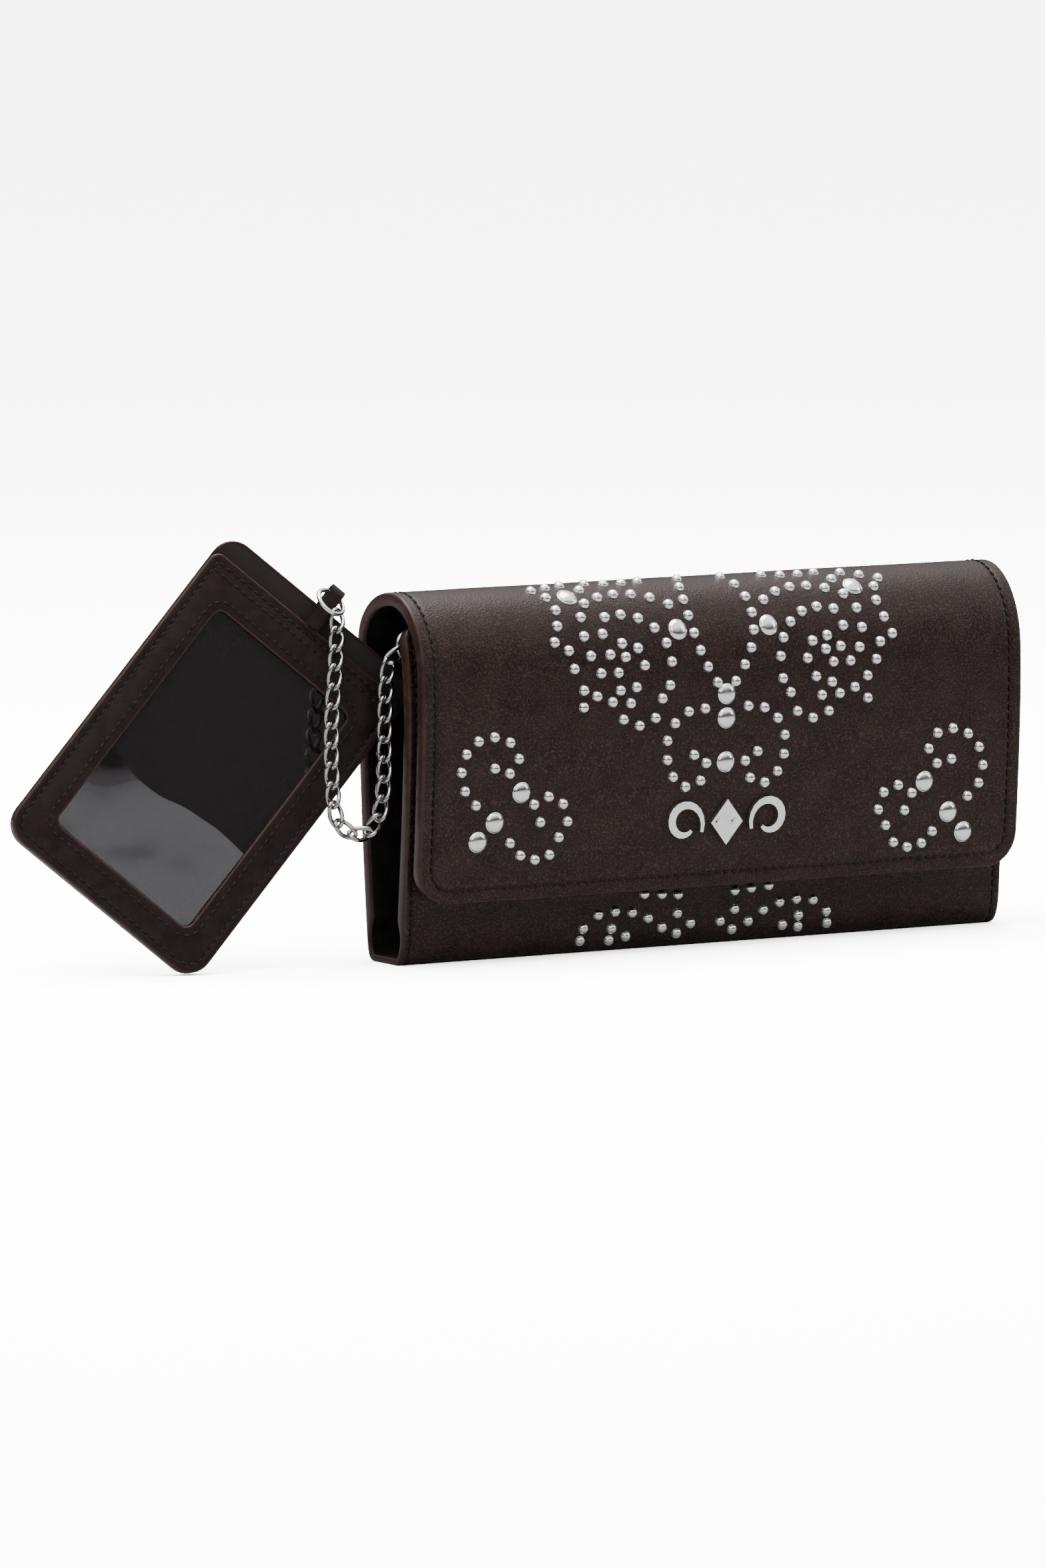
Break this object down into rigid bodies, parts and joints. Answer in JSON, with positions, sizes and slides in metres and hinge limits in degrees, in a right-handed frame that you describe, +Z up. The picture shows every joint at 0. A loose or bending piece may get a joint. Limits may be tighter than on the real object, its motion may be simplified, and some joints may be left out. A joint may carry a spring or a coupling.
{
  "type": "chain wallet",
  "caption": "Long flap wallet in studded brown leather, with a zip pocket inside and a leather card holder with a clear window on a curb chain.",
  "frame": {"origin": "middle of the flat strip that the wallet rests on, under its bottom fold", "axes": "+X towards the wallet's right end when the flap is looked at, +Y towards its back panel, +Z up"},
  "size_m": [0.3024, 0.0509, 0.1177],
  "materials": {
    "wallet_leather": "dark brown mottled leather with a soft sheen",
    "lining_leather": "smooth dark brown lining leather",
    "stiffener": "bonded leather board, hidden inside the panels",
    "nickel": "bright nickel plate",
    "holder_leather": "smooth near-black brown leather",
    "clear_window": "clear flexible plastic sheet",
    "zip_tape": "woven zip tape"
  },
  "bodies": {
    "wallet": {"back_outer": "wallet_leather", "back_board": "stiffener", "back_lining": "lining_leather", "bottom_fold_outer": "wallet_leather", "bottom_fold_lining": "lining_leather", "fold_small_studs": "nickel", "pocket_front_wall": "lining_leather", "pocket_back_wall": "lining_leather", "pocket_gusset": "lining_leather", "zip_tape_upper": "zip_tape", "zip_tape_lower": "zip_tape", "zip_teeth_upper": "nickel", "zip_teeth_lower": "nickel", "zip_stops": "nickel", "wallet_ring_tab": "wallet_leather", "wallet_ring_tab_rivet": "nickel", "wallet_ring": "nickel"},
    "spine": {"spine_outer": "wallet_leather", "spine_board": "stiffener", "spine_lining": "lining_leather", "spine_small_studs": "nickel", "spine_large_studs": "nickel"},
    "flap": {"flap_outer": "wallet_leather", "flap_board": "stiffener", "flap_lining": "lining_leather", "flap_small_studs": "nickel", "flap_large_studs": "nickel", "flap_ornament": "nickel", "ornament_rivets": "nickel", "snap_stud": "nickel", "snap_stud_washer": "nickel"},
    "front_panel": {"front_outer": "wallet_leather", "front_board": "stiffener", "front_lining": "lining_leather", "front_small_studs": "nickel", "card_slot_layers": "lining_leather", "card_slot_divider": "lining_leather", "snap_socket": "nickel", "snap_socket_washer": "nickel"},
    "slider": {"zip_slider": "nickel"},
    "pull": {"zip_pull": "nickel"},
    "chain": {"chain_flat_links": "nickel", "chain_edge_links": "nickel"},
    "holder": {"holder_ring": "nickel", "holder_ring_tab": "holder_leather", "holder_ring_tab_rivet": "nickel", "holder_back": "holder_leather", "holder_lining": "lining_leather", "holder_welt": "holder_leather", "holder_window": "clear_window", "holder_front_frame": "holder_leather"}
  },
  "joints": [
    {"name": "spine_fold", "type": "hinge", "parent": "wallet", "child": "spine", "pos_m": [0, 0.014, 0.089], "axis": [-1, 0, 0], "range_deg": [0, 90]},
    {"name": "flap_fold", "type": "hinge", "parent": "spine", "child": "flap", "pos_m": [0, -0.0216, 0.0771], "axis": [-1, 0, 0], "range_deg": [0, 90]},
    {"name": "front_panel_fold", "type": "hinge", "parent": "wallet", "child": "front_panel", "pos_m": [0, -0.011, 0.013], "axis": [1, 0, 0], "range_deg": [0, 18]},
    {"name": "zip_slide", "type": "slide", "parent": "wallet", "child": "slider", "axis": [-1, 0, 0], "range_m": [0, 0.122]},
    {"name": "pull_swing", "type": "hinge", "parent": "slider", "child": "pull", "pos_m": [0.061, -0.0045, 0.078], "axis": [0, 1, 0], "range_deg": [-75, 75]},
    {"name": "chain_swing", "type": "hinge", "parent": "wallet", "child": "chain", "pos_m": [-0.09367, -0.00196, 0.08725], "axis": [0, 1, 0], "range_deg": [0, 15]},
    {"name": "holder_swing", "type": "hinge", "parent": "chain", "child": "holder", "pos_m": [-0.10978, 0.0071, 0.09825], "axis": [0.2476, 0.9534, -0.1723], "range_deg": [0, 40]}
  ],
  "couplings": [
    {"joint": "flap_fold", "follows": "spine_fold", "ratio": 1},
    {"joint": "front_panel_fold", "follows": "spine_fold", "ratio": 0.2}
  ]
}
